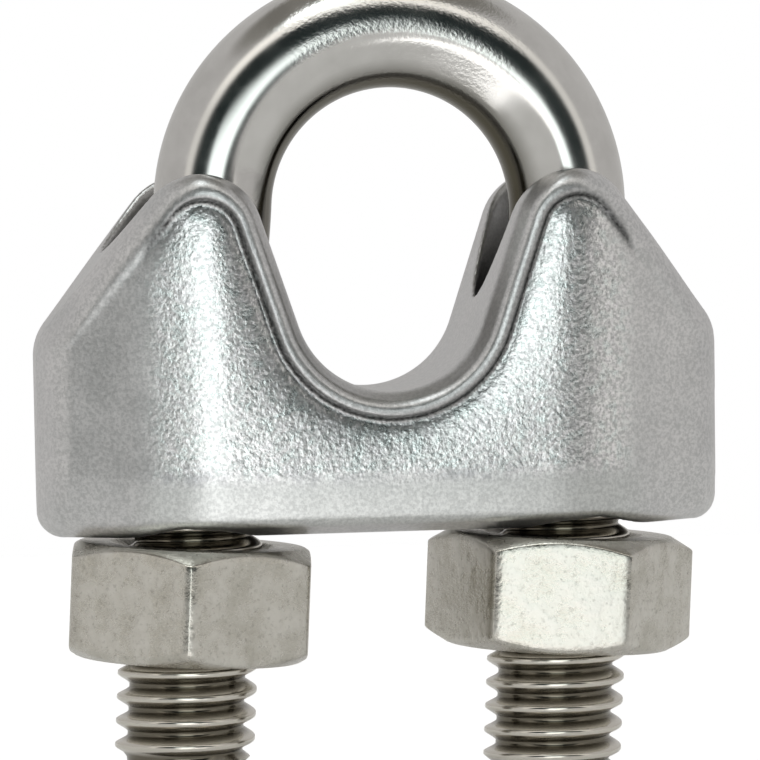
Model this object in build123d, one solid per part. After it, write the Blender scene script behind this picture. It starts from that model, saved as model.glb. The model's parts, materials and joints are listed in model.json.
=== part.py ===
from build123d import *
import math
import os

# Wire rope clip, size 8, with M6 legs. All lengths are in millimetres.
# Origin: on the axis of the rope seat, halfway along it.
# +Y runs along the rope, +Z points up to the bow, +X points to the right leg.

# Rope seat
seat_radius = 4.0
seat_flare_deg = 18.6  # lean of the straight seat walls, from vertical

# Saddle casting
saddle_width = 28.6
saddle_depth = 9.6
seat_floor_thickness = 5.8  # metal under the lowest point of the seat
horn_height = 14.8  # horn tips above the underside
end_height = 8.2  # upright ends above the underside, before their rounding
slope_reach = 9.8  # half width of the saddle where the slopes are at slope_reach_height
slope_reach_height = 13.8
crown_start = 7.7  # half width at which the front and back faces start to fall away
facet_start = 10.5  # half width at which they turn more sharply, into the end facets
facet_start_depth = 7.9
end_depth = 4.4
end_corner_radius = 1.2
shoulder_radius = 2.2  # where the slopes run into the upright ends
underside_corner_radius = 1.0
rim_radius = 0.85  # round edge all the way round the front and back faces
leg_hole_radius = 3.5

# U-bolt. It is drawn upright, then leans in its loose holes.
leg_spacing = 15.6  # between the axes of the threaded legs
bow_radius = 7.5  # middle line of the bow, so the plain legs close in a little towards it
bar_radius = 2.45
thread_radius = 2.9  # M6, outside radius
thread_length = 16.0
bow_rise = 3.5  # centre of the bow above the rope seat axis
leg_end_below_seat = 20.0
leg_chamfer = 0.7
thread_runout = 0.48  # cone between the plain bar and the thread
bolt_lean_deg = 3.3  # towards +X; 0 stands the U-bolt upright
lean_pivot_height = 1.0  # the point about which it leans, above the underside

# Nuts, hexagon M6
nut_across_flats = 9.8
nut_height = 4.75
nut_play = 0.2  # smallest gap between a nut and the underside of the saddle
nut_bore_clearance = 0.05
nut_chamfer_deg = 30.0
nut_face_radius = 4.65  # round flat faces at the two ends
bore_chamfer = 0.45
left_nut_turn_deg = 23.0  # a hexagon corner, anticlockwise from +X seen from above
right_nut_turn_deg = -10.0

underside = -(seat_floor_thickness + seat_radius)
half_spacing = leg_spacing / 2
half_depth = saddle_depth / 2
seat_run = math.tan(math.radians(seat_flare_deg))  # seat wall: sideways per unit of height
slope_run = (saddle_width / 2 - slope_reach) / (slope_reach_height - end_height)
seat_edge_x = seat_radius * math.cos(math.radians(seat_flare_deg))  # where the round floor
seat_edge_z = -seat_radius * math.sin(math.radians(seat_flare_deg))  # meets the straight walls
through = 4 * horn_height  # longer than any cut through the saddle
tolerance = 0.01


def horn_apex():
    """Where the straight seat wall and the outer slope would meet without the rounded tip."""
    shoulder = underside + end_height
    z = (saddle_width / 2 + shoulder * slope_run - seat_edge_x + seat_edge_z * seat_run)
    z /= seat_run + slope_run
    return seat_edge_x + (z - seat_edge_z) * seat_run, z


def horn_tip_radius(apex_z):
    """Radius that brings the rounded tip down from the apex to the horn height."""
    half_angle = (math.atan(seat_run) + math.atan(slope_run)) / 2
    tilt = (math.atan(slope_run) - math.atan(seat_run)) / 2
    excess = apex_z - (underside + horn_height)
    return excess / (math.cos(tilt) / math.sin(half_angle) - 1)


def corners_at(outline, height):
    """The two corners of the outline at a height, one on each side of the middle."""
    corners = [v for v in outline.vertices() if abs(v.Y - height) < tolerance]
    return [v for v in corners if abs(v.X) > tolerance]


def front_outline():
    """The saddle seen along the rope, as a face in the XZ plane."""
    apex_x, apex_z = horn_apex()
    half_width = saddle_width / 2
    shoulder = underside + end_height
    with BuildSketch(Plane.XZ) as outline:
        with BuildLine():
            Line((0, underside), (half_width, underside))
            Line((half_width, underside), (half_width, shoulder))
            Line((half_width, shoulder), (apex_x, apex_z))
            Line((apex_x, apex_z), (seat_edge_x, seat_edge_z))
            ThreePointArc((seat_edge_x, seat_edge_z), (0, -seat_radius), (-seat_edge_x, seat_edge_z))
            Line((-seat_edge_x, seat_edge_z), (-apex_x, apex_z))
            Line((-apex_x, apex_z), (-half_width, shoulder))
            Line((-half_width, shoulder), (-half_width, underside))
            Line((-half_width, underside), (0, underside))
        make_face()
        fillet(corners_at(outline, apex_z), horn_tip_radius(apex_z))
        fillet(corners_at(outline, shoulder), shoulder_radius)
        fillet(corners_at(outline, underside), underside_corner_radius)
    return outline.sketch


def plan_outline():
    """The saddle seen from above: straight faces in the middle, then falling away to the ends."""
    half_width = saddle_width / 2
    half_facet = facet_start_depth / 2
    half_end = end_depth / 2
    with BuildSketch(Plane.XY) as plan:
        with BuildLine():
            Polyline(
                (crown_start, -half_depth),
                (facet_start, -half_facet),
                (half_width, -half_end),
                (half_width, half_end),
                (facet_start, half_facet),
                (crown_start, half_depth),
                (-crown_start, half_depth),
                (-facet_start, half_facet),
                (-half_width, half_end),
                (-half_width, -half_end),
                (-facet_start, -half_facet),
                (-crown_start, -half_depth),
                close=True,
            )
        make_face()
        ends = [v for v in plan.vertices() if abs(v.X) > half_width - tolerance]
        fillet(ends, end_corner_radius)
    return plan.sketch


def make_saddle():
    """The cast saddle: rope seat, two horns, round rims and the two leg holes."""
    body = extrude(front_outline(), amount=half_depth, both=True)
    faces = [f for f in body.faces() if abs(f.normal_at().Y) > 1 - tolerance]
    body = fillet([e for f in faces for e in f.edges()], rim_radius)
    body = body & extrude(plan_outline(), amount=through, both=True)
    for side in (-1, 1):
        body -= Pos(side * half_spacing, 0, 0) * Cylinder(leg_hole_radius, through)
    return body.solid()


def lean(shape):
    """Leans the U-bolt, or a nut on one of its legs, from upright to where it rests."""
    pivot = Pos(0, 0, underside + lean_pivot_height)
    return pivot * Rot(0, bolt_lean_deg, 0) * pivot.inverse() * shape


def make_leg(side):
    """One leg from the bow down: plain bar closing in to the bow, cone, thread, chamfered end."""
    thread_top = -leg_end_below_seat + thread_length
    plain_bottom = thread_top + thread_runout
    with BuildSketch(Plane.XZ) as half_section:
        with BuildLine():
            Polyline(
                (0, plain_bottom),
                (bar_radius, plain_bottom),
                (thread_radius, thread_top),
                (thread_radius, -leg_end_below_seat + leg_chamfer),
                (thread_radius - leg_chamfer, -leg_end_below_seat),
                (0, -leg_end_below_seat),
                close=True,
            )
        make_face()
    threaded = Pos(side * half_spacing, 0, 0) * revolve(half_section.sketch, axis=Axis.Z)
    low_end = Pos(side * half_spacing, 0, plain_bottom) * Circle(bar_radius)
    high_end = Pos(side * bow_radius, 0, bow_rise) * Circle(bar_radius)
    return threaded + loft([low_end.face(), high_end.face()])


def make_u_bolt():
    """One round bar: a half-circle bow and two threaded legs."""
    centre = (0, 0, bow_rise)
    section = Plane(origin=(bow_radius, 0, bow_rise), z_dir=(0, 0, 1)) * Circle(bar_radius)
    bow = revolve(section, axis=Axis(centre, (0, -1, 0)), revolution_arc=180)
    return lean(bow + make_leg(-1) + make_leg(1)).solid()


def nut_top(side):
    """Height of a nut's top face while upright. Leaning, its raised edge just clears the saddle."""
    angle = math.radians(bolt_lean_deg)
    pivot = underside + lean_pivot_height
    leaning_top = underside - nut_play - nut_face_radius * math.sin(angle)
    return pivot + (leaning_top - pivot + side * half_spacing * math.sin(angle)) / math.cos(angle)


def make_nut(side, turn_deg):
    """A hexagon nut with both ends chamfered, on its leg under the saddle."""
    corner_radius = nut_across_flats / math.sqrt(3)
    drop = (corner_radius - nut_face_radius) * math.tan(math.radians(nut_chamfer_deg))
    with BuildSketch() as hexagon:
        RegularPolygon(corner_radius, 6, rotation=turn_deg)
    prism = extrude(hexagon.sketch, amount=-nut_height)
    bore_radius = thread_radius + nut_bore_clearance
    with BuildSketch(Plane.XZ) as half_section:
        with BuildLine():
            Polyline(
                (bore_radius + bore_chamfer, 0),
                (nut_face_radius, 0),
                (corner_radius, -drop),
                (corner_radius, -nut_height + drop),
                (nut_face_radius, -nut_height),
                (bore_radius + bore_chamfer, -nut_height),
                (bore_radius, -nut_height + bore_chamfer),
                (bore_radius, -bore_chamfer),
                close=True,
            )
        make_face()
    turned = revolve(half_section.sketch, axis=Axis.Z)
    return lean(Pos(side * half_spacing, 0, nut_top(side)) * (prism & turned)).solid()


pieces = {
    "saddle": make_saddle(),
    "u_bolt": make_u_bolt(),
    "nut_left": make_nut(-1, left_nut_turn_deg),
    "nut_right": make_nut(1, right_nut_turn_deg),
}
os.makedirs("parts", exist_ok=True)
for name, shape in pieces.items():
    export_step(shape, f"parts/{name}.step")
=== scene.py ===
import json
import math

import bpy
import numpy as np
from mathutils import Matrix, Vector, noise


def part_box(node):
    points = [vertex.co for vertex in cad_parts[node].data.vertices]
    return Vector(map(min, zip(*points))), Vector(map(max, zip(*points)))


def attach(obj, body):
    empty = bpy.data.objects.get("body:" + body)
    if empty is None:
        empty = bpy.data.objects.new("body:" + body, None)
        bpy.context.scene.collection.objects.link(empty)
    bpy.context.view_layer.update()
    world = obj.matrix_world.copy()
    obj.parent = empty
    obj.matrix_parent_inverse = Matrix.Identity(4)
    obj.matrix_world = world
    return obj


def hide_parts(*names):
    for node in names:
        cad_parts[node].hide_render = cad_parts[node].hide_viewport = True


# Looks of the wire rope clip: the cast saddle, the U-bolt and two nuts. Shapes are
# worked out in millimetres and put into the CAD frame, in metres, as meshes are made.

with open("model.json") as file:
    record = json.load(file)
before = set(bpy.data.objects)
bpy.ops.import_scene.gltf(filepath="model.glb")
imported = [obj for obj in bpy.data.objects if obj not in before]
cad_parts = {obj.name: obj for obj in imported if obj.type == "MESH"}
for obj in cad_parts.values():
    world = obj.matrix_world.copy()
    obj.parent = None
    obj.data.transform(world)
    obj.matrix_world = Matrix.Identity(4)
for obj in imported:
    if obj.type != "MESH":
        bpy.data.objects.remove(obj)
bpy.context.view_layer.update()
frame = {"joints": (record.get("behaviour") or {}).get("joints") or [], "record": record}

MM = 0.001


def box_mm(node):
    """Lowest and highest corner of a CAD node, in millimetres."""
    low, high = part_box(node)
    return np.array(low) / MM, np.array(high) / MM


saddle_low, saddle_high = box_mm("saddle")
bolt_low, bolt_high = box_mm("u_bolt")
joints = {joint["name"]: joint for joint in frame["joints"]}
SEAT_RADIUS = frame["record"]["mounts"][0]["dims"]["r_mm"]

# Saddle casting
UNDERSIDE = saddle_low[2]
HALF_WIDTH = saddle_high[0]
HALF_DEPTH = saddle_high[1]
HORN_TOP = saddle_high[2]
SEAT_FLARE = math.radians(18.6)  # lean of the straight seat walls
SHOULDER = UNDERSIDE + 8.2  # where the slopes meet the upright ends
SLOPE_X, SLOPE_Z = 9.8, UNDERSIDE + 13.8  # a point on the slope
SHOULDER_ROUND = 2.2
UNDERSIDE_ROUND = 1.0
RIM_ROUND = 0.85  # round edges of the faces, in the middle of the saddle
END_ROUND = 1.3  # and at its ends
LEG_HOLE = 3.5
HOLE_EDGE = 0.3

# U-bolt and nuts are drawn upright, then lean together in the loose leg holes
travel_axis = joints["u_bolt_travel"]["axis"]
LEAN = math.atan2(travel_axis[0], travel_axis[2])
PIVOT = UNDERSIDE + 1.0
TRAVEL_DOWN = joints["u_bolt_travel"]["range_m"][0]

# U-bolt. Its radii are of the bar, and of the thread's crests and roots
LEG_X = 7.8
BAR = 2.45
CREST = 2.90
ROOT = 2.40
PITCH = 1.0
LEG_END = -20.0
THREAD_TOP = LEG_END + 16.0
RUNOUT = 0.48
PLAIN_START = THREAD_TOP + RUNOUT
BOW_RADIUS = 7.5
BOW_Z = PIVOT + (bolt_high[2] - BAR - BOW_RADIUS - PIVOT) / math.cos(LEAN)
LEG_CHAMFER = 0.7

# Nuts. A nut and its leg share a thread phase, in turns, so that their threads mesh
NUT_HEIGHT = 4.75
APOTHEM = 4.90
NUT_FACE = 4.65
NUT_TURN = {"left": math.radians(23), "right": math.radians(-10)}
THREAD_PHASE = {"left": 0.15, "right": 0.23}


def leaned(points):
    """Leans upright points about the pivot low in the saddle."""
    x, y, z = np.asarray(points, float).T
    along, up = math.cos(LEAN), math.sin(LEAN)
    return np.stack([x * along + (z - PIVOT) * up, y, PIVOT - x * up + (z - PIVOT) * along], 1)


def upright_height(point):
    """Height that a leaning point had while upright."""
    return PIVOT + point[0] * math.sin(LEAN) + (point[2] - PIVOT) * math.cos(LEAN)


def smoothstep(low, high, value):
    """Smooth rise from 0 at low to 1 at high, or a fall where low is the larger."""
    t = np.clip((value - low) / (high - low), 0, 1)
    return t * t * (3 - 2 * t)


def soft_max(a, b, width):
    """The larger of a and b, rounded where they are closer than width."""
    h = np.clip(0.5 + 0.5 * (a - b) / width, 0, 1)
    return b + (a - b) * h + width * h * (1 - h)


def mesh_object(name, points, faces, body, node, material):
    """A smooth mesh piece in place of a CAD node. Points are in millimetres."""
    mesh = bpy.data.meshes.new(name)
    mesh.from_pydata((np.asarray(points) * MM).tolist(), [], faces)
    mesh.validate()
    mesh.polygons.foreach_set("use_smooth", [True] * len(mesh.polygons))
    mesh.update()
    piece = bpy.data.objects.new(name, mesh)
    bpy.context.scene.collection.objects.link(piece)
    mesh.materials.append(material)
    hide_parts(node)
    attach(piece, body)
    return piece


def point_attribute(piece, name, values):
    """A number for each point of a piece, read by its material."""
    attribute = piece.data.attributes.new(name, "FLOAT", "POINT")
    attribute.data.foreach_set("value", np.asarray(values, np.float32))


# ---------------------------------------------------------------- saddle


def rounded_corner(before, corner, after, radius, count=14):
    """Points of the arc that rounds one corner of a line."""
    before, corner, after = (np.array(p, float) for p in (before, corner, after))
    u = (before - corner) / np.linalg.norm(before - corner)
    v = (after - corner) / np.linalg.norm(after - corner)
    half = math.acos(np.clip(u @ v, -1, 1)) / 2
    centre = corner + (u + v) / np.linalg.norm(u + v) * radius / math.sin(half)
    start = corner + u * radius / math.tan(half) - centre
    end = corner + v * radius / math.tan(half) - centre
    a0, a1 = math.atan2(start[1], start[0]), math.atan2(end[1], end[0])
    turn = (a1 - a0 + math.pi) % (2 * math.pi) - math.pi
    angles = a0 + turn * np.linspace(0, 1, count)
    return centre + radius * np.stack([np.cos(angles), np.sin(angles)], 1)


def outline_halves():
    """Right half of the saddle seen along the rope: base and end, slope, then horn and seat."""
    run = math.tan(SEAT_FLARE)
    edge_x = SEAT_RADIUS * math.cos(SEAT_FLARE)
    edge_z = -SEAT_RADIUS * math.sin(SEAT_FLARE)
    slope = (HALF_WIDTH - SLOPE_X) / (SLOPE_Z - SHOULDER)
    apex_z = (HALF_WIDTH + SHOULDER * slope - edge_x + edge_z * run) / (run + slope)
    apex_x = edge_x + (apex_z - edge_z) * run
    half_angle = (math.atan(run) + math.atan(slope)) / 2
    tilt = (math.atan(slope) - math.atan(run)) / 2
    tip_round = (apex_z - HORN_TOP) / (math.cos(tilt) / math.sin(half_angle) - 1)
    foot, corner = (0, UNDERSIDE), (HALF_WIDTH, UNDERSIDE)
    shoulder, apex, seat = (HALF_WIDTH, SHOULDER), (apex_x, apex_z), (edge_x, edge_z)
    base = np.concatenate([
        [foot],
        rounded_corner(foot, corner, shoulder, UNDERSIDE_ROUND),
        rounded_corner(corner, shoulder, apex, SHOULDER_ROUND),
    ])
    angles = np.linspace(-SEAT_FLARE, -math.pi / 2, 40)
    floor = SEAT_RADIUS * np.stack([np.cos(angles), np.sin(angles)], 1)
    tip = rounded_corner(shoulder, apex, seat, tip_round, 30)
    slope_side = np.concatenate([base[-1:], tip[:15]])
    return base, slope_side, np.concatenate([tip[14:], floor])


def line_distance(px, pz, line):
    """Distance from each point to a line of straight runs."""
    best = np.full(px.shape, 1e9)
    for (ax, az), (bx, bz) in zip(line[:-1], line[1:]):
        dx, dz = bx - ax, bz - az
        t = np.clip(((px - ax) * dx + (pz - az) * dz) / (dx * dx + dz * dz), 0, 1)
        best = np.minimum(best, np.hypot(px - ax - t * dx, pz - az - t * dz))
    return best


def inside_line(px, pz, line):
    """True for the points inside a closed line."""
    inside = np.zeros(px.shape, bool)
    for (ax, az), (bx, bz) in zip(line, np.roll(line, -1, 0)):
        if az != bz:
            crosses = (az > pz) != (bz > pz)
            inside ^= crosses & (px < ax + (pz - az) / (bz - az) * (bx - ax))
    return inside


class FlatField:
    """Distances in the plane of the saddle's outline, kept on a grid and read between points."""

    STEP = 0.05
    MARGIN = 1.0

    def __init__(self):
        base, slope, seat = outline_halves()
        xs = np.arange(0, HALF_WIDTH + self.MARGIN, self.STEP)
        zs = np.arange(UNDERSIDE - self.MARGIN, HORN_TOP + self.MARGIN, self.STEP)
        px, pz = np.meshgrid(xs, zs, indexing="ij")
        to_base, to_slope, to_seat = (line_distance(px, pz, line) for line in (base, slope, seat))
        to_top = np.minimum(to_slope, to_seat)
        inside = inside_line(np.maximum(px, 1e-4), pz, np.concatenate([base, slope[1:], seat[1:]]))
        self.edge = np.where(inside, -1, 1) * np.minimum(to_top, to_base)
        self.top = np.where(inside, 1, -1) * to_top
        self.seat = to_seat
        self.beaded = smoothstep(BEAD_FADE_START, BEAD_FADE_END, to_slope - to_seat)
        self.origin = UNDERSIDE - self.MARGIN

    def read(self, field, x, z):
        """A field's value at each point, the same on both sides of the middle."""
        u = np.abs(x) / self.STEP
        v = (z - self.origin) / self.STEP
        i = np.clip(u.astype(int), 0, field.shape[0] - 2)
        j = np.clip(v.astype(int), 0, field.shape[1] - 2)
        u, v = u - i, v - j
        low = field[i, j] * (1 - u) + field[i + 1, j] * u
        high = field[i, j + 1] * (1 - u) + field[i + 1, j + 1] * u
        return low * (1 - v) + high * v


# Front and back faces of the saddle
BEAD_ROUND = 0.34  # round edge of the rim along the seat and the horn tips
BEAD_FADE_START, BEAD_FADE_END = -0.8, 1.2  # how much nearer the seat is than the slope
FLARE, FLARE_DEPTH = 0.42, 1.1  # the seat opens out behind the rim
END_ROUND_START, END_ROUND_END = 11.0, 13.5  # half widths where the edges get rounder
RIM_WIDTH = 0.95
RIM_STEP = 0.26  # width of the step from the rim down to the face
RECESS = 0.10  # height of that step
GROOVE, GROOVE_WIDTH = 0.04, 0.26
PILLOW, PILLOW_REACH = 0.36, 1.15  # the face is lower beside the seat and rises away from it
CROWN_START, CROWN_END, CROWN_SLOPE = 6.3, 9.0, 0.30
FACE_TILT = 0.022
FACET_START, FACET_LEAN, FACET_LEAN_START = 10.5, 0.18, 10.35
FACET_AT, FACET_FALL = 3.87, 0.46  # half depth at the crease, and fall per mm beyond it
FACET_STEP = 0.07
CREASE_ROUND = 0.10
BAND_TOP = 2.55  # the band along the bottom of the face
BAND_TILT, BAND_CURVE = 0.05, 0.030

# Surface of the casting
LUMP_SIZES, LUMP_SHARE, LUMP_OFFSET = (0.42, 0.9), 0.7, 40
LUMP_HEIGHT = 0.0045
WAVE_SIZE, WAVE_OFFSET, WAVE_HEIGHT = 3.2, 90, 0.012  # waver of the smooth parts
GRID = 0.146
GRID_MARGIN = 3.5  # cells round the saddle
SIDE_FROM, SIDE_TO = 0.1, 0.35  # depth below the face over which its finish fades out
FACET_BELOW, CREASE_INSIDE = (-0.05, 0.20), (-0.1, 0.6)  # where the pebbles end at a facet
BAND_FADE, PEBBLES_FROM, BAND_TO = 0.7, 0.2, 0.1  # below and above the bottom band's top
FOOT_SHADE_AT, FOOT_SHADE_WIDTH, FOOT_SHADE_FADE = 0.16, 0.20, 0.4  # painted shade, a dark line at the foot of the rim
MIDDLE_START, MIDDLE_END = 9.5, 11.0  # half widths over which the bottom band's finish fades
REFLECTION_LINE_BELOW, REFLECTION_LINE_WIDTH = 0.10, 0.34  # painted dark reflection, a grey line along the top of the bottom band


def crease_x(height):
    """Half width at which a face turns into its end facet, by height above the underside."""
    return FACET_START - FACET_LEAN * np.maximum(0, height - FACET_LEAN_START)


def face_depth(x, z, flat):
    """Half depth at a point of a face, how far it is in the pebbled part, and from the rim."""
    height = z - UNDERSIDE
    from_edge = flat.read(flat.top, x, z)
    crease = crease_x(height)
    recessed = smoothstep(RIM_WIDTH, RIM_WIDTH + RIM_STEP, from_edge)
    off_rim = np.maximum(from_edge - RIM_WIDTH, 0)
    off_seat = np.maximum(flat.read(flat.seat, x, z) - RIM_WIDTH, 0)
    groove = GROOVE * np.exp(-(((off_rim - GROOVE_WIDTH) / GROOVE_WIDTH) ** 2))
    fall = RECESS + groove + PILLOW * np.exp(-off_seat / PILLOW_REACH)
    t = np.clip((np.abs(x) - CROWN_START) / (CROWN_END - CROWN_START), 0, 1)
    past = np.maximum(np.abs(x) - CROWN_END, 0)
    crown = CROWN_SLOPE * ((CROWN_END - CROWN_START) * (t**3 - 0.5 * t**4) + past)
    tilt = FACE_TILT * (HORN_TOP - z)
    below = np.maximum(BAND_TOP - height, 0)
    band = BAND_TILT * below + BAND_CURVE * below**2
    face = HALF_DEPTH - recessed * fall - crown - tilt - band
    facet = FACET_AT - FACET_FALL * (np.abs(x) - crease) - tilt - band - FACET_STEP * recessed
    depth = -soft_max(-face, -facet, CREASE_ROUND)
    pebbled = recessed * smoothstep(*FACET_BELOW, facet - face)
    pebbled = pebbled * smoothstep(*CREASE_INSIDE, crease - np.abs(x))
    pebbled = pebbled * smoothstep(BAND_TOP - BAND_FADE, BAND_TOP + PEBBLES_FROM, height)
    return depth, pebbled, from_edge


def saddle_distance(p, flat):
    """Signed distance to the saddle, near its surface."""
    x, y, z = p
    depth, _, _ = face_depth(x, z, flat)
    beaded = flat.read(flat.beaded, x, z)
    at_end = smoothstep(END_ROUND_START, END_ROUND_END, np.abs(x))
    rim = RIM_ROUND + (END_ROUND - RIM_ROUND) * at_end
    rim += (BEAD_ROUND - rim) * beaded
    behind = depth - np.abs(y)
    flare = FLARE * beaded * smoothstep(FLARE_DEPTH, 0, behind)
    a = flat.read(flat.edge, x, z) + flare + rim
    b = np.abs(y) - depth + rim
    outside = np.hypot(np.maximum(a, 0), np.maximum(b, 0))
    body = outside + np.minimum(np.maximum(a, b), 0) - rim
    hole = LEG_HOLE - np.hypot(np.abs(x) - LEG_X, y)
    return soft_max(body, hole, HOLE_EDGE)


def surface_net(field, origin, step):
    """Points and quads of the surface where a grid of distances changes sign."""
    inside = field < 0
    corners = [(i, j, k) for i in (0, 1) for j in (0, 1) for k in (0, 1)]
    size = np.array(field.shape) - 1
    count = np.zeros(size, int)
    for i, j, k in corners:
        count += inside[i : i + size[0], j : j + size[1], k : k + size[2]]
    cells = np.argwhere((count > 0) & (count < 8))
    index = np.full(size, -1)
    index[tuple(cells.T)] = np.arange(len(cells))
    total, crossings = np.zeros((len(cells), 3)), np.zeros(len(cells))
    for a in corners:
        for axis in range(3):
            if a[axis]:
                continue
            b = np.array(a)
            b[axis] = 1
            fa = field[tuple((cells + a).T)]
            fb = field[tuple((cells + b).T)]
            cut = (fa < 0) != (fb < 0)
            t = np.where(cut, fa / np.where(cut, fa - fb, 1), 0)
            total += cut[:, None] * (np.array(a) + t[:, None] * (b - np.array(a)))
            crossings += cut
    points = origin + step * (cells + total / crossings[:, None])
    quads = []
    for axis in range(3):
        u, v = (axis + 1) % 3, (axis + 2) % 3
        near = [slice(None)] * 3
        far = [slice(None)] * 3
        near[axis], far[axis] = slice(None, -1), slice(1, None)
        cut = inside[tuple(near)] != inside[tuple(far)]
        edges = np.argwhere(cut)
        edges = edges[(edges[:, u] > 0) & (edges[:, v] > 0)]
        edges = edges[(edges[:, u] < size[u]) & (edges[:, v] < size[v])]
        ring = []
        for du, dv in ((1, 1), (0, 1), (0, 0), (1, 0)):
            cell = edges.copy()
            cell[:, u] -= du
            cell[:, v] -= dv
            ring.append(index[tuple(cell.T)])
        ring = np.stack(ring, 1)
        flip = ~inside[tuple(edges.T)]
        ring[flip] = ring[flip][:, ::-1]
        quads.append(ring)
    return points, np.concatenate(quads)


def settle(points, distance, step, rounds=3):
    """Moves the points of a surface net onto the surface itself."""
    points = points.T.copy()
    tiny = step * 0.2
    for _ in range(rounds):
        here = distance(points)
        slope = np.stack([
            (distance(points + tiny * axis[:, None]) - here) / tiny for axis in np.eye(3)
        ])
        move = -here * slope / np.maximum((slope**2).sum(0), 0.05)
        length = np.sqrt((move**2).sum(0))
        points += move * np.minimum(1, 0.5 * step / np.maximum(length, 1e-9))
    return points.T


def pebble(point, size):
    """Smooth noise, about -1 to 1, with lumps of a size."""
    return noise.noise(Vector(point) / size)


def build_saddle(material):
    """The casting's mesh from its distances, its lumps, and the attributes its material reads."""
    flat = FlatField()
    margin = GRID_MARGIN * GRID
    low = np.array([-HALF_WIDTH, -HALF_DEPTH, UNDERSIDE]) - margin
    high = np.array([HALF_WIDTH, HALF_DEPTH, HORN_TOP]) + margin
    axes = [np.arange(a, b, GRID) for a, b in zip(low, high)]
    xx, zz = np.meshgrid(axes[0], axes[2], indexing="ij")
    grid = np.zeros([len(a) for a in axes])
    for j, y in enumerate(axes[1]):
        grid[:, j, :] = saddle_distance((xx, np.full(xx.shape, y), zz), flat)
    points, quads = surface_net(grid, low, GRID)
    points = settle(points, lambda p: saddle_distance(p, flat), GRID)
    x, y, z = points.T
    depth, pebbled, from_edge = face_depth(x, z, flat)
    on_side = 1 - smoothstep(SIDE_FROM, SIDE_TO, depth - np.abs(y))
    mask = pebbled * on_side
    small, large = LUMP_SIZES
    lumps = np.array([
        pebble(p, small) + LUMP_SHARE * pebble(p + LUMP_OFFSET, large) for p in points
    ])
    waves = np.array([pebble(p + WAVE_OFFSET, WAVE_SIZE) for p in points])
    smooth_part = on_side * (1 - mask)
    push = np.sign(y) * (LUMP_HEIGHT * lumps * mask - WAVE_HEIGHT * (1 + waves) * smooth_part)
    points[:, 1] += np.where(on_side > 0, push, 0)
    points[:, 1] = np.clip(points[:, 1], -HALF_DEPTH, HALF_DEPTH)
    points[:, 0] = np.clip(points[:, 0], -HALF_WIDTH, HALF_WIDTH)
    points[:, 2] = np.clip(points[:, 2], UNDERSIDE, HORN_TOP)
    piece = mesh_object(
        "saddle_casting", points, quads.tolist(), "saddle_body", "saddle", material
    )
    height = z - UNDERSIDE
    # Painted shade: a dark line along the foot of the rim, where the face steps down
    foot_shade = np.exp(-(((from_edge - RIM_WIDTH - FOOT_SHADE_AT) / FOOT_SHADE_WIDTH) ** 2))
    foot_shade *= on_side * smoothstep(0, FOOT_SHADE_FADE, crease_x(height) - np.abs(x))
    middle = on_side * smoothstep(MIDDLE_END, MIDDLE_START, np.abs(x))
    lower_band = middle * smoothstep(BAND_TOP + BAND_TO, BAND_TOP - BAND_FADE, height)
    # Painted dark reflection: a grey line along the top of the bottom band
    band_reflection_line = middle * np.exp(-(((height - BAND_TOP + REFLECTION_LINE_BELOW) / REFLECTION_LINE_WIDTH) ** 2))
    point_attribute(piece, "pebbled", mask)
    point_attribute(piece, "rim_foot_shade", foot_shade)
    point_attribute(piece, "lower_band", lower_band)
    point_attribute(piece, "band_reflection_line", band_reflection_line)
    point_attribute(piece, "on_face", on_side)
    return piece


# ---------------------------------------------------------------- U-bolt

RING = 72  # points round the bar
ROWS_PER_PITCH = 20
CHAMFER_ROWS = (0, 0.25, 0.5, 0.75)  # shares of the chamfer's height
PLAIN_GAP, PLAIN_STEP, BOW_GAP = 0.3, 0.4, 0.1  # between the rings of the plain legs
BOW_RINGS = 97
END_RINGS = (0.9, 1.7)  # radii on a leg's flat end
END_DISH = 0.05  # the leg ends are very slightly hollow
THREAD_START, THREAD_RISE, THREAD_STRAIGHT = 0.16, 0.68, 0.55  # shape of the thread's flanks

# The bar is a little flat at two places inside the bend
FLAT_AT, FLAT_REACH, FLAT_HALF = math.radians(122), 1.2, math.radians(20)
FLAT_ROUND = 0.03
FLAT_START, FLAT_RISE = 0.4, 3  # share at the ends of the bow, and how fast it grows to 1

# Finish of the bar, and painted shade on it
BEND_SHADE_FROM, BEND_SHADE_TO = 0.52, 0.95  # how far towards the inside of the bend painted shade darkens it
BEND_SHADE_ABOVE = (THREAD_TOP + 1, THREAD_TOP + 3)
SPECKLE_FROM = BOW_Z + 5.5
THREAD_FADE = 0.6
# Radius below which painted shade darkens the thread grooves
GROOVE_SHADE_FROM = CREST - 0.1


def ring_faces(rows, ring, closed=False):
    """Quads between neighbouring rings of points."""
    faces = []
    last = rows if closed else rows - 1
    for i in range(last):
        k = (i + 1) % rows
        for j in range(ring):
            n = (j + 1) % ring
            faces.append((i * ring + j, i * ring + n, k * ring + n, k * ring + j))
    return faces


def thread_wave(turns):
    """Height of the thread, 0 at the root and 1 at the crest, by position in turns."""
    saw = 1 - 2 * np.abs(turns % 1.0 - 0.5)
    t = np.clip((saw - THREAD_START) / THREAD_RISE, 0, 1)
    return THREAD_STRAIGHT * t + (1 - THREAD_STRAIGHT) * t * t * (3 - 2 * t)


def turns_at(theta, z, side):
    """Position along the thread at an angle about a leg's own axis and a height, in turns."""
    return (z - PITCH * theta / (2 * math.pi)) / PITCH + THREAD_PHASE[side]


def leg_radius(theta, z, side):
    """Radius of a threaded leg at an angle about its own axis, anticlockwise from +X."""
    wave = thread_wave(turns_at(theta, z, side))
    fade = 1 - smoothstep(THREAD_TOP, PLAIN_START, z)
    radius = BAR + fade * (ROOT + (CREST - ROOT) * wave - BAR)
    return np.minimum(radius, CREST - LEG_CHAMFER + (z - LEG_END))


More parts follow.
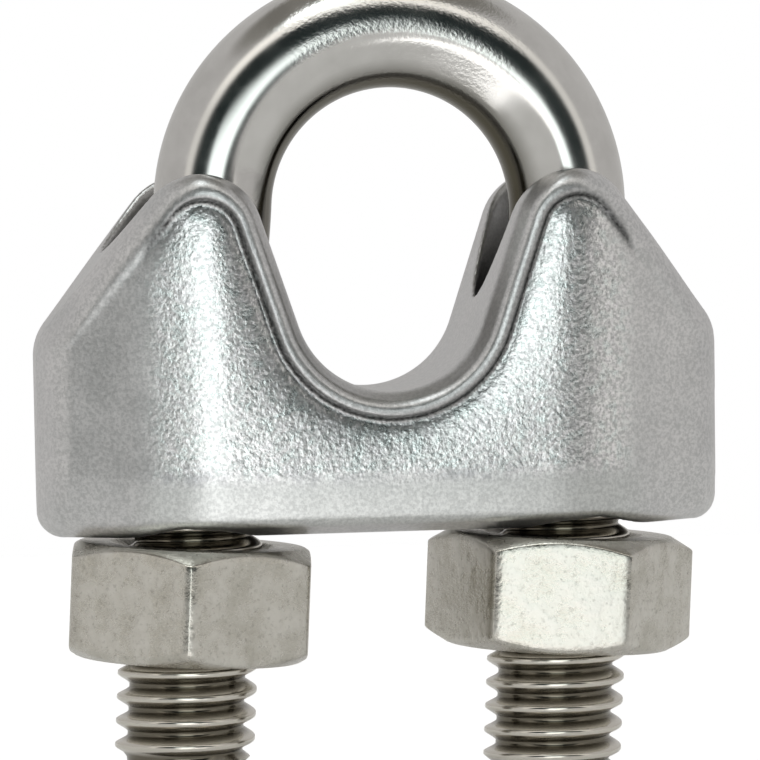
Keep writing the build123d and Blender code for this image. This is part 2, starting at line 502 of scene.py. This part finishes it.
def bar_section(angle, bend):
    """Radius of the bar by angle from the outer side of the bow, a little flat where bent."""
    radius = np.full(angle.shape, BAR)
    for centre in (FLAT_AT, 2 * math.pi - FLAT_AT):
        off = np.clip(np.abs(angle - centre), 0, FLAT_REACH)
        chord = BAR * math.cos(FLAT_HALF) / np.cos(off)
        radius = -soft_max(-radius, -chord, FLAT_ROUND)
    return BAR + bend * (np.minimum(radius, BAR) - BAR)


def leg_heights():
    """Heights of a leg's rings from its end up to the bow: chamfer, thread, plain bar."""
    chamfer_top = LEG_END + LEG_CHAMFER
    thread_rows = int(round((PLAIN_START - chamfer_top) / PITCH * ROWS_PER_PITCH))
    heights = [LEG_END + LEG_CHAMFER * t for t in CHAMFER_ROWS]
    heights += list(np.linspace(chamfer_top, PLAIN_START, thread_rows))
    return heights + list(np.arange(PLAIN_START + PLAIN_GAP, BOW_Z - BOW_GAP, PLAIN_STEP))


def leg_rings(angle, side):
    """Rings of points up one leg. Angles go round the bar from the outer side by the front."""
    sign = -1 if side == "left" else 1
    ring = np.outer(np.cos(angle), [sign, 0, 0]) + np.outer(np.sin(angle), [0, -1, 0])
    theta = angle + math.pi if sign < 0 else -angle
    rings = [np.array([sign * LEG_X, 0, LEG_END + END_DISH]) + r * ring for r in END_RINGS]
    for z in leg_heights():
        r = leg_radius(theta, z, side)
        x = LEG_X + (BOW_RADIUS - LEG_X) * smoothstep(PLAIN_START, BOW_Z, z)
        rings.append(np.array([sign * x, 0, z]) + r[:, None] * ring)
    return rings


def bow_rings(angle):
    """Rings of points over the bow, from the left leg to the right one."""
    rings = []
    for turn in np.linspace(0, math.pi, BOW_RINGS):
        outward = np.array([-math.cos(turn), 0, math.sin(turn)])
        r = bar_section(angle, min(1.0, FLAT_START + FLAT_RISE * math.sin(turn)))
        ring = np.outer(np.cos(angle), outward) + np.outer(np.sin(angle), [0, -1, 0])
        rings.append(np.array([0, 0, BOW_Z]) + BOW_RADIUS * outward + r[:, None] * ring)
    return rings


def build_u_bolt(material):
    """One closed mesh of the bar and its threads, with the attributes its material reads."""
    angle = np.arange(RING) * 2 * math.pi / RING
    rings = leg_rings(angle, "left") + bow_rings(angle) + leg_rings(angle, "right")[::-1]
    points = np.concatenate(rings)
    faces = ring_faces(len(rings), RING)
    first, last = len(points), len(points) + 1
    ends = [[-LEG_X, 0, LEG_END + END_DISH], [LEG_X, 0, LEG_END + END_DISH]]
    tail = (len(rings) - 1) * RING
    for j in range(RING):
        n = (j + 1) % RING
        faces.append((first, n, j))
        faces.append((last, tail + j, tail + n))
    points = np.concatenate([points, ends])
    piece = mesh_object(
        "u_bolt_bar", leaned(points), faces, "u_bolt_body", "u_bolt", material
    )
    # Painted shade on the inside of the bend, above the thread
    bend_shade = np.tile(smoothstep(BEND_SHADE_FROM, BEND_SHADE_TO, -np.cos(angle)), len(rings))
    bend_shade *= smoothstep(*BEND_SHADE_ABOVE, points[: len(bend_shade), 2])
    ring_heights = np.array([ring[:, 2].mean() for ring in rings])
    top = np.repeat(smoothstep(0, 1, ring_heights - SPECKLE_FROM), RING)
    point_attribute(piece, "inner_bend_shade", np.append(bend_shade, [0, 0]))
    point_attribute(piece, "bow_top", np.append(top, [0, 0]))
    threaded = 1 - smoothstep(THREAD_TOP, THREAD_TOP + THREAD_FADE, points[:, 2])
    from_axis = np.hypot(np.abs(points[:, 0]) - LEG_X, points[:, 1])
    point_attribute(piece, "threaded", threaded)
    # Painted shade in the thread grooves, deepest at the roots
    point_attribute(piece, "groove", threaded * smoothstep(GROOVE_SHADE_FROM, ROOT, from_axis))
    return piece


# ---------------------------------------------------------------- nuts

CORNER_CUT, CORNER_ROUND = 0.07, 0.12  # how much the hexagon's corners are eased
NUT_EDGE = 0.07
NUT_CHAMFER = math.tan(math.radians(30))
COUNTERSINK = 0.45
BORE_ROOT = 2.99
BORE_CREST = 2.50
BORE_ROWS_PER_MM = 16
BORE_END = 0.08  # height from a nut's face to the first row of its bore
WALL_ROWS = 9


def nut_directions(turn, per_side=26):
    """Angles round a hexagon, closer together at its corners, and the hexagon's radius at each."""
    share = np.sin(np.linspace(-1, 1, per_side + 1)[:-1] * math.pi / 2)
    angles, radii = [], []
    for side in range(6):
        off = share * math.pi / 6
        angles.append(turn + math.pi / 6 + side * math.pi / 3 + off)
        radii.append(APOTHEM / np.cos(off))
    angles, radii = np.concatenate(angles), np.concatenate(radii)
    corner = APOTHEM / math.cos(math.pi / 6)
    return angles, -soft_max(-radii, np.full(radii.shape, CORNER_CUT - corner), CORNER_ROUND)


def build_nut(side, node, material):
    """A hexagon nut at its own angle, chamfered outside, countersunk and threaded inside."""
    sign = -1 if side == "left" else 1
    middle = upright_height(np.array(joints[f"{node}_turn"]["pos_m"]) / MM)
    nut_top, nut_bottom = middle + NUT_HEIGHT / 2, middle - NUT_HEIGHT / 2
    theta, outer = nut_directions(NUT_TURN[side])
    drop = (outer - NUT_FACE) * NUT_CHAMFER
    level = np.zeros(theta.shape)
    sink = BORE_ROOT + COUNTERSINK
    # Radius and height of each row from the wall's edge in over the chamfer to the countersink.
    # Close rows ease the edges
    top_half = [
        (outer, nut_top - drop - NUT_EDGE),
        (outer - 0.02, nut_top - drop - 0.012),
        (outer - 0.08, nut_top - drop + 0.08 * NUT_CHAMFER),
        (NUT_FACE + (outer - NUT_FACE) * 0.5, nut_top - drop * 0.5),
        (level + NUT_FACE + 0.05, nut_top - 0.05 * NUT_CHAMFER + level),
        (level + NUT_FACE - 0.02, nut_top - 0.004 + level),
        (level + NUT_FACE - 0.09, nut_top + level),
        (level + (NUT_FACE + sink) / 2, nut_top + level),
        (level + sink + 0.06, nut_top + level),
        (level + sink, nut_top - 0.02 + level),
    ]
    rows = [(r, 2 * middle - z) for r, z in top_half[::-1]]
    half_wall = (nut_top - nut_bottom) / 2 - drop - NUT_EDGE
    rows += [(outer, middle + half_wall * t) for t in np.linspace(-0.9, 0.9, WALL_ROWS)]
    rows += top_half
    bore_rows = int((nut_top - nut_bottom) * BORE_ROWS_PER_MM)
    for z in np.linspace(nut_top - BORE_END, nut_bottom + BORE_END, bore_rows):
        wave = thread_wave(turns_at(theta, z, side))
        r = BORE_CREST + (BORE_ROOT - BORE_CREST) * wave
        end = min(nut_top - z, z - nut_bottom)
        rows.append((np.maximum(r, sink - end), level + z))
    rings = []
    for r, z in rows:
        rings.append(np.stack([sign * LEG_X + r * np.cos(theta), r * np.sin(theta), z], 1))
    points = np.concatenate(rings)
    faces = ring_faces(len(rings), len(theta), closed=True)
    return mesh_object(
        f"{node}_hex", leaned(points), faces, f"{node}_body", node, material
    )


# ---------------------------------------------------------------- materials


class Nodes:
    """Short names for building a material. Its sizes are in millimetres."""

    def __init__(self, name):
        self.material = bpy.data.materials.new(name)
        self.material.use_nodes = True
        self.tree = self.material.node_tree
        self.tree.nodes.clear()
        self.out = self.add("ShaderNodeOutputMaterial")
        self.shader = self.add("ShaderNodeBsdfPrincipled")
        self.link(self.shader, "BSDF", self.out, "Surface")
        self.coords = self.add("ShaderNodeTexCoord")

    def add(self, kind, **values):
        """A node with some of its properties or inputs set."""
        node = self.tree.nodes.new(kind)
        for key, value in values.items():
            if hasattr(node, key):
                setattr(node, key, value)
            else:
                node.inputs[key.replace("_", " ")].default_value = value
        return node

    def link(self, a, out, b, into):
        self.tree.links.new(a.outputs[out], b.inputs[into])

    def noise(self, size_mm, detail=3.0, roughness=0.55):
        """Noise whose lumps are about size_mm across, in the object's own space."""
        node = self.add("ShaderNodeTexNoise")
        node.inputs["Scale"].default_value = 1 / (size_mm * MM)
        node.inputs["Detail"].default_value = detail
        node.inputs["Roughness"].default_value = roughness
        self.link(self.coords, "Object", node, "Vector")
        return node

    def ramp(self, source, out, stops):
        """Maps a value through colour stops (position, colour or grey)."""
        node = self.add("ShaderNodeValToRGB")
        elements = node.color_ramp.elements
        while len(elements) > 1:
            elements.remove(elements[-1])
        for i, (place, colour) in enumerate(stops):
            element = elements[0] if i == 0 else elements.new(place)
            element.position = place
            grey = (colour,) * 3 if isinstance(colour, (int, float)) else colour
            element.color = (*grey, 1)
        self.link(source, out, node, "Fac")
        return node

    def range(self, source, out, low, high, to_low, to_high):
        """Maps a value from low..high to to_low..to_high, and holds it at the ends."""
        node = self.add("ShaderNodeMapRange")
        self.link(source, out, node, "Value")
        for socket, value in (
            ("From Min", low), ("From Max", high), ("To Min", to_low), ("To Max", to_high)
        ):
            node.inputs[socket].default_value = value
        return node

    def math(self, operation, a, b, clamp=False):
        """An arithmetic node. a and b are numbers or (node, output)."""
        node = self.add("ShaderNodeMath")
        node.operation = operation
        node.use_clamp = clamp
        for i, value in enumerate((a, b)):
            if isinstance(value, tuple):
                self.tree.links.new(value[0].outputs[value[1]], node.inputs[i])
            else:
                node.inputs[i].default_value = value
        return node

    def mix(self, factor, a, b):
        """Mixes two colours. factor is (node, output); a and b are colours or (node, output)."""
        node = self.add("ShaderNodeMix")
        node.data_type = "RGBA"
        self.tree.links.new(factor[0].outputs[factor[1]], node.inputs[0])
        for i, value in ((6, a), (7, b)):
            if isinstance(value[0], bpy.types.Node):
                self.tree.links.new(value[0].outputs[value[1]], node.inputs[i])
            else:
                node.inputs[i].default_value = (*value, 1)
        return node

    def bump(self, height, depth_mm, after=None):
        """Surface relief from a height. height is (node, output), after is an earlier bump."""
        node = self.add("ShaderNodeBump")
        node.inputs["Strength"].default_value = 1.0
        node.inputs["Distance"].default_value = depth_mm * MM
        self.tree.links.new(height[0].outputs[height[1]], node.inputs["Height"])
        if after:
            self.link(after, "Normal", node, "Normal")
        return node


def cast_steel():
    """Tumbled stainless casting: bright pebbled faces, smooth satin rims and ends."""
    n = Nodes("cast_steel_pebbled")
    pebbled = n.add("ShaderNodeAttribute", attribute_name="pebbled")
    foot = n.add("ShaderNodeAttribute", attribute_name="rim_foot_shade")
    band = n.add("ShaderNodeAttribute", attribute_name="lower_band")
    band_reflection_line = n.add("ShaderNodeAttribute", attribute_name="band_reflection_line")
    on_face = n.add("ShaderNodeAttribute", attribute_name="on_face")
    broad = n.noise(2.6, 2)
    grain = n.noise(0.17, 2, 0.5)
    fine = n.noise(0.15, 3, 0.7)
    tint = n.noise(0.45, 2)
    body = n.ramp(tint, "Fac", [
        (0.36, (0.90, 0.95, 0.94)), (0.48, (0.96, 0.96, 0.95)), (0.62, (0.98, 0.96, 0.97))
    ])
    satin = n.ramp(broad, "Fac", [(0.3, (0.66, 0.66, 0.66)), (0.7, (0.77, 0.76, 0.76))])
    colour = n.mix((pebbled, "Fac"), (satin, "Color"), (body, "Color"))
    colour = n.mix((band, "Fac"), (colour, 2), (0.68, 0.69, 0.68))

    # Broken grey line along the top of the bottom band: a painted dark reflection
    broad_breaks = n.range(broad, "Fac", 0.38, 0.62, 0.1, 1.0)
    small_breaks = n.range(tint, "Fac", 0.35, 0.6, 0.1, 1.1)
    broken = n.math("MULTIPLY", (broad_breaks, "Result"), (small_breaks, "Result"))
    broken = n.range(broken, 0, 0, 1, 0, 0.6)
    painted_reflection_line = n.math("MULTIPLY", (band_reflection_line, "Fac"), (broken, "Result"), clamp=True)
    colour = n.mix((painted_reflection_line, 0), (colour, 2), (0.32, 0.34, 0.36))

    # Fine grey specks, strongest on the pebbled part: grain tone, and painted shade of pits
    grain_and_pit_shade = n.range(fine, "Fac", 0.40, 0.60, 0.0, 1.0)
    face_strength = n.range(on_face, "Fac", 0, 1, 0.25, 0.40)
    more_strength = n.range(pebbled, "Fac", 0, 1, 0, 0.22)
    strength = n.math("ADD", (face_strength, "Result"), (more_strength, "Result"))
    grain_and_pit_shade = n.math("MULTIPLY", (grain_and_pit_shade, "Result"), (strength, 0))
    colour = n.mix((grain_and_pit_shade, 0), (colour, 2), (0.30, 0.31, 0.31))

    # Ragged dark line at the foot of the rim: painted shade
    ragged_foot_shade = n.range(grain, "Fac", 0.35, 0.6, 0.8, 1.0)
    ragged_foot_shade = n.math("MULTIPLY", (foot, "Fac"), (ragged_foot_shade, "Result"), clamp=True)
    colour = n.mix((ragged_foot_shade, 0), (colour, 2), (0.035, 0.035, 0.035))
    n.link(colour, 2, n.shader, "Base Color")

    satin_rough = n.range(broad, "Fac", 0.3, 0.7, 0.32, 0.42)
    face_rough = n.range(tint, "Fac", 0.3, 0.7, 0.26, 0.32)
    rough = n.mix((pebbled, "Fac"), (satin_rough, "Result"), (face_rough, "Result"))
    n.link(rough, 2, n.shader, "Roughness")
    face_relief = n.math("MULTIPLY", (on_face, "Fac"), 0.35)
    more_relief = n.range(pebbled, "Fac", 0, 1, 0.03, 0.65)
    relief = n.math("ADD", (face_relief, 0), (more_relief, "Result"))
    height = n.math("MULTIPLY", (grain, "Fac"), (relief, 0))
    bump = n.bump((height, 0), 0.021)
    n.link(bump, "Normal", n.shader, "Normal")
    n.shader.inputs["Metallic"].default_value = 1.0
    return n.material


def polished_bar():
    """Drawn stainless bar, polished, with painted shade inside the bow and in the thread grooves.
    """
    n = Nodes("polished_bar_drawn")
    bend_shade_node = n.add("ShaderNodeAttribute", attribute_name="inner_bend_shade")
    top = n.add("ShaderNodeAttribute", attribute_name="bow_top")
    threaded = n.add("ShaderNodeAttribute", attribute_name="threaded")
    groove = n.add("ShaderNodeAttribute", attribute_name="groove")
    mottle = n.noise(1.6, 3)
    speck = n.noise(0.16, 3)
    bar = n.ramp(mottle, "Fac", [(0.35, (0.62, 0.61, 0.59)), (0.65, (0.69, 0.68, 0.66))])
    colour = n.mix((threaded, "Fac"), (bar, "Color"), (0.66, 0.63, 0.57))
    # Painted shade in the thread grooves
    colour = n.mix((groove, "Fac"), (colour, 2), (0.16, 0.145, 0.115))
    # Painted shade inside the bend of the bow
    colour = n.mix((bend_shade_node, "Fac"), (colour, 2), (0.075, 0.066, 0.042))
    n.link(colour, 2, n.shader, "Base Color")
    smooth = n.range(mottle, "Fac", 0.3, 0.7, 0.13, 0.19)
    rough = n.mix((threaded, "Fac"), (smooth, "Result"), (0.17, 0.17, 0.17))
    n.link(rough, 2, n.shader, "Roughness")
    height = n.math("MULTIPLY", (speck, "Fac"), (n.range(top, "Fac", 0, 1, 0.05, 1), "Result"))
    bump = n.bump((height, 0), 0.010)
    n.link(bump, "Normal", n.shader, "Normal")
    n.shader.inputs["Metallic"].default_value = 1.0
    return n.material


def nut_steel():
    """Plain stainless nut, slightly warm, with a soft rolled mottle."""
    n = Nodes("nut_steel_satin")
    mottle = n.noise(1.1, 4, 0.6)
    speck = n.noise(0.14, 3)
    fine = n.noise(0.2, 3, 0.7)
    body = n.ramp(mottle, "Fac", [(0.35, (0.52, 0.50, 0.445)), (0.65, (0.69, 0.67, 0.62))])
    pits = n.range(fine, "Fac", 0.55, 0.70, 0.0, 0.40)
    colour = n.mix((pits, "Result"), (body, "Color"), (0.20, 0.19, 0.16))
    n.link(colour, 2, n.shader, "Base Color")
    rough = n.range(mottle, "Fac", 0.3, 0.7, 0.20, 0.34)
    n.link(rough, "Result", n.shader, "Roughness")
    bump = n.bump((mottle, "Fac"), 0.05)
    bump = n.bump((speck, "Fac"), 0.010, after=bump)
    n.link(bump, "Normal", n.shader, "Normal")
    n.shader.inputs["Metallic"].default_value = 1.0
    return n.material


# ---------------------------------------------------------------- stage

CAMERA_YAW = math.radians(9.46)
CAMERA_PITCH = math.radians(2.25)
CAMERA_ROLL = math.radians(-1.03)
CAMERA_DISTANCE = 0.170
CAMERA_TARGET = Vector((0.00012, 0, -0.00367))
CAMERA_LENS = 192.72


def camera_axes():
    """Forward, right and up of the camera."""
    yaw, pitch, roll = CAMERA_YAW, CAMERA_PITCH, CAMERA_ROLL
    forward = Vector((
        math.sin(yaw) * math.cos(pitch), math.cos(yaw) * math.cos(pitch), -math.sin(pitch)
    ))
    right = Vector((math.cos(yaw), -math.sin(yaw), 0))
    up = right.cross(forward)
    turned_right = math.cos(roll) * right + math.sin(roll) * up
    turned_up = -math.sin(roll) * right + math.cos(roll) * up
    return forward, turned_right, turned_up


def add_camera():
    """The photograph's viewpoint, fitted to the clip's outline in it."""
    forward, right, up = camera_axes()
    data = bpy.data.cameras.new("camera")
    data.lens = CAMERA_LENS
    data.sensor_width = 36
    data.clip_start = 0.01
    data.clip_end = 10
    camera = bpy.data.objects.new("camera", data)
    bpy.context.scene.collection.objects.link(camera)
    turn = Matrix((right, up, -forward)).transposed().to_4x4()
    camera.matrix_world = Matrix.Translation(CAMERA_TARGET - forward * CAMERA_DISTANCE) @ turn
    bpy.context.scene.camera = camera


# Light tent. Places are in degrees: to the left of straight in front (-Y), and up
TENT_BRIGHTNESS = 2.0
WALL = (0.29, 0.285, 0.28)
HIGH_WALL, HIGH_WALL_AT = (0.12, 0.115, 0.105), (46, 58)
OPENING = (6.0, 2.0)  # middle of the dark opening
OPENING_EDGE_AT, OPENING_AT = (65.0, 58.0), (52.0, 43.0)  # from there, where each fades in
EDGE, HIGH_EDGE, HIGH_EDGE_AT = (0.45, 0.44, 0.42), (0.72, 0.70, 0.66), (25, 45)
LOW_WALL_AT = (-1.0, -7.0)
DARK = (0.008, 0.012, 0.012)
WHITE = (0.92, 1.0, 0.99)
TALL_LEFT, TALL_LEFT_FADE = (-8.0, 22.0), 3.0  # the tall light
TALL_UP, TALL_UP_FADE = (-50.0, 13.0), 8.0
TOP_LEFT, TOP_LEFT_FADE = (-5.0, 48.0), 8.0  # the light overhead
TOP_UP, TOP_UP_FADE = (58.0, 84.0), 5.0

# Floor and lamps, in metres, degrees and watts
FLOOR_SIZE = 0.16  # half of its side
FLOOR_GAP = 0.0001  # below the lowest leg end
FLOOR_GLOW, FLOOR_GLOW_SEEN = 0.12, 0.55  # in reflections, and as seen by the camera
SOFTBOX_PLACE, SOFTBOX_SIZE, SOFTBOX_POWER = (-0.06, -0.10, 0.28), 0.08, 0.03
STRIP_LEFT, STRIP_NEAR, STRIP_FAR, STRIP_WIDTH = 8.0, 0.026, 0.150, 0.030
STRIP_RAISED = 0.0005
STRIP_BRIGHTNESS = 1.2


def direction(left, up):
    """Unit direction from degrees to the left of straight in front and degrees up."""
    a, b = math.radians(left), math.radians(up)
    return (-math.sin(a) * math.cos(b), -math.cos(a) * math.cos(b), math.sin(b))


def add_world():
    """A light tent about the object: pale walls, a dark opening in front, a tall light in it."""
    world = bpy.data.worlds.new("studio")
    bpy.context.scene.world = world
    world.use_nodes = True
    tree = world.node_tree
    tree.nodes.clear()
    link = tree.links.new
    out = tree.nodes.new("ShaderNodeOutputWorld")
    coords = tree.nodes.new("ShaderNodeTexCoord")
    split = tree.nodes.new("ShaderNodeSeparateXYZ")
    link(coords.outputs["Generated"], split.inputs[0])

    def math_node(operation, a, b=None):
        node = tree.nodes.new("ShaderNodeMath")
        node.operation = operation
        for i, value in enumerate((a, b)):
            if isinstance(value, bpy.types.NodeSocket):
                link(value, node.inputs[i])
            elif value is not None:
                node.inputs[i].default_value = value
        return node.outputs[0]

    def degrees(radians):
        return math_node("MULTIPLY", radians, 180 / math.pi)

    def step(value, low, high):
        """0 below low and 1 above high, in degrees, or 1 to 0 where low is the larger."""
        node = tree.nodes.new("ShaderNodeMapRange")
        node.interpolation_type = "SMOOTHSTEP"
        link(value, node.inputs["Value"])
        first, last = (0, 1) if low < high else (1, 0)
        node.inputs["From Min"].default_value = min(low, high)
        node.inputs["From Max"].default_value = max(low, high)
        node.inputs["To Min"].default_value = first
        node.inputs["To Max"].default_value = last
        return node.outputs["Result"]

    def between(value, low, high, soft):
        """1 between low and high, in degrees, fading to 0 over soft degrees either side."""
        rise = step(value, low - soft, low + soft)
        return math_node("MULTIPLY", rise, step(value, high + soft, high - soft))

    def mix(factor, a, b):
        node = tree.nodes.new("ShaderNodeMix")
        node.data_type = "RGBA"
        link(factor, node.inputs[0])
        for i, value in ((6, a), (7, b)):
            if isinstance(value, bpy.types.NodeSocket):
                link(value, node.inputs[i])
            else:
                node.inputs[i].default_value = (*value, 1)
        return node.outputs[2]

    # Where a ray goes: degrees to the left of straight in front, up, and from the opening
    left = degrees(math_node(
        "ARCTAN2", math_node("MULTIPLY", split.outputs["X"], -1.0),
        math_node("MULTIPLY", split.outputs["Y"], -1.0),
    ))
    up = degrees(math_node("ARCSINE", split.outputs["Z"]))
    dot = tree.nodes.new("ShaderNodeVectorMath")
    dot.operation = "DOT_PRODUCT"
    dot.inputs[1].default_value = direction(*OPENING)
    link(coords.outputs["Generated"], dot.inputs[0])
    away = degrees(math_node("ARCCOSINE", dot.outputs["Value"]))

    colour = mix(step(up, *HIGH_WALL_AT), WALL, HIGH_WALL)
    edge = mix(step(up, *HIGH_EDGE_AT), EDGE, HIGH_EDGE)
    colour = mix(step(away, *OPENING_EDGE_AT), colour, edge)
    colour = mix(step(away, *OPENING_AT), colour, DARK)
    colour = mix(step(up, *LOW_WALL_AT), colour, WALL)
    tall_across = between(left, *TALL_LEFT, TALL_LEFT_FADE)
    tall = math_node("MULTIPLY", tall_across, between(up, *TALL_UP, TALL_UP_FADE))
    colour = mix(tall, colour, WHITE)
    top_across = between(left, *TOP_LEFT, TOP_LEFT_FADE)
    top = math_node("MULTIPLY", top_across, between(up, *TOP_UP, TOP_UP_FADE))
    colour = mix(top, colour, WHITE)
    tent = tree.nodes.new("ShaderNodeBackground")
    tent.inputs["Strength"].default_value = TENT_BRIGHTNESS
    link(colour, tent.inputs["Color"])
    seen = tree.nodes.new("ShaderNodeBackground")
    seen.inputs["Color"].default_value = (1, 1, 1, 1)
    seen.inputs["Strength"].default_value = 1.0
    rays = tree.nodes.new("ShaderNodeLightPath")
    either = tree.nodes.new("ShaderNodeMixShader")
    link(rays.outputs["Is Camera Ray"], either.inputs["Fac"])
    link(tent.outputs[0], either.inputs[1])
    link(seen.outputs[0], either.inputs[2])
    link(either.outputs[0], out.inputs["Surface"])


def floor_height():
    """Height of the floor, in metres: the leg ends at the bottom of their travel."""
    return bolt_low[2] * MM + TRAVEL_DOWN * math.cos(LEAN) - FLOOR_GAP


def add_floor():
    """A plain pale floor that the leg ends just reach when the U-bolt is drawn fully down."""
    size, z = FLOOR_SIZE, floor_height()
    mesh = bpy.data.meshes.new("floor")
    corners = [(-size, -size, z), (size, -size, z), (size, size, z), (-size, size, z)]
    mesh.from_pydata(corners, [], [(0, 1, 2, 3)])
    floor = bpy.data.objects.new("floor", mesh)
    bpy.context.scene.collection.objects.link(floor)
    n = Nodes("floor_pale")
    paper = n.noise(30, 2)
    colour = n.ramp(paper, "Fac", [(0.3, 0.93), (0.7, 0.96)])
    seen = n.add("ShaderNodeBsdfPrincipled")
    for shader, glow in ((n.shader, FLOOR_GLOW), (seen, FLOOR_GLOW_SEEN)):
        n.link(colour, "Color", shader, "Base Color")
        shader.inputs["Roughness"].default_value = 0.9
        shader.inputs["Emission Color"].default_value = (1, 1, 1, 1)
        shader.inputs["Emission Strength"].default_value = glow
    rays = n.add("ShaderNodeLightPath")
    either = n.add("ShaderNodeMixShader")
    n.link(rays, "Is Camera Ray", either, "Fac")
    n.tree.links.new(n.shader.outputs[0], either.inputs[1])
    n.tree.links.new(seen.outputs[0], either.inputs[2])
    n.link(either, "Shader", n.out, "Surface")
    mesh.materials.append(n.material)


def add_light(name, place, width, length, power, target):
    """A soft rectangular light, in metres and watts, not seen by the camera itself."""
    data = bpy.data.lights.new(name, "AREA")
    data.shape = "RECTANGLE"
    data.size = width
    data.size_y = length
    data.energy = power
    light = bpy.data.objects.new(name, data)
    light.location = place
    aim = Vector(target) - Vector(place)
    light.rotation_euler = aim.to_track_quat("-Z", "Y").to_euler()
    light.visible_camera = False
    bpy.context.scene.collection.objects.link(light)
    return light


def add_low_strip():
    """A long light lying in front of the object, towards the camera's side."""
    length = STRIP_FAR - STRIP_NEAR
    middle = (STRIP_NEAR + STRIP_FAR) / 2
    turn = math.radians(STRIP_LEFT)
    height = floor_height() + STRIP_RAISED
    place = Vector((-math.sin(turn) * middle, -math.cos(turn) * middle, height))
    power = math.pi * STRIP_BRIGHTNESS * STRIP_WIDTH * length
    above = place + Vector((0, 0, 1))
    light = add_light("low_strip", place, STRIP_WIDTH, length, power, above)
    light.rotation_euler = (math.pi, 0, -turn)


build_saddle(cast_steel())
build_u_bolt(polished_bar())
nut_material = nut_steel()
build_nut("left", "nut_left", nut_material)
build_nut("right", "nut_right", nut_material)

add_camera()
add_world()
add_floor()
add_light(
    "softbox_above", SOFTBOX_PLACE, SOFTBOX_SIZE, SOFTBOX_SIZE, SOFTBOX_POWER, (0, 0, 0)
)
add_low_strip()
scene = bpy.context.scene
scene.view_settings.view_transform = "Standard"
scene.view_settings.look = "None"
scene.view_settings.exposure = 0.0
